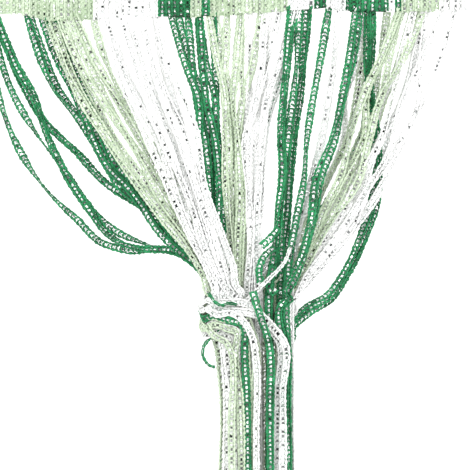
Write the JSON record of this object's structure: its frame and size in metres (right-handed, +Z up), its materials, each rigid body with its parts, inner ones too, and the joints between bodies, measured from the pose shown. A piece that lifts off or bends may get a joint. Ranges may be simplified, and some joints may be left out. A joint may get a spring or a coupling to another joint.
{
  "type": "knotted string door curtain",
  "caption": "Fringe door curtain of flat ladder tapes in green, mint and white hanging from a gathered heading band, drawn together and tied in a knot",
  "frame": {"origin": "Middle of the heading band's top edge, where the curtain is held up", "axes": "+Z up, -Y the face towards the room, +X along the heading to the right as seen from the front"},
  "size_m": [0.2995, 0.0458, 2.0044],
  "materials": {
    "heading_knit": "knitted band in mint, white and green stripes",
    "green_yarn": "emerald green ladder tape with a silver strip",
    "mint_yarn": "pale mint ladder tape with a silver strip",
    "white_yarn": "white ladder tape with a silver strip"
  },
  "bodies": {
    "root": {"heading_band": "heading_knit", "strings_green_left": "green_yarn", "strings_mint_left": "mint_yarn", "strings_white_left": "white_yarn", "strings_green_middle": "green_yarn", "strings_mint_middle": "mint_yarn", "strings_white_middle": "white_yarn", "strings_green_inner_right": "green_yarn", "strings_white_inner_right": "white_yarn", "strings_green_right": "green_yarn", "strings_mint_right": "mint_yarn", "strings_white_right": "white_yarn"}
  },
  "joints": []
}
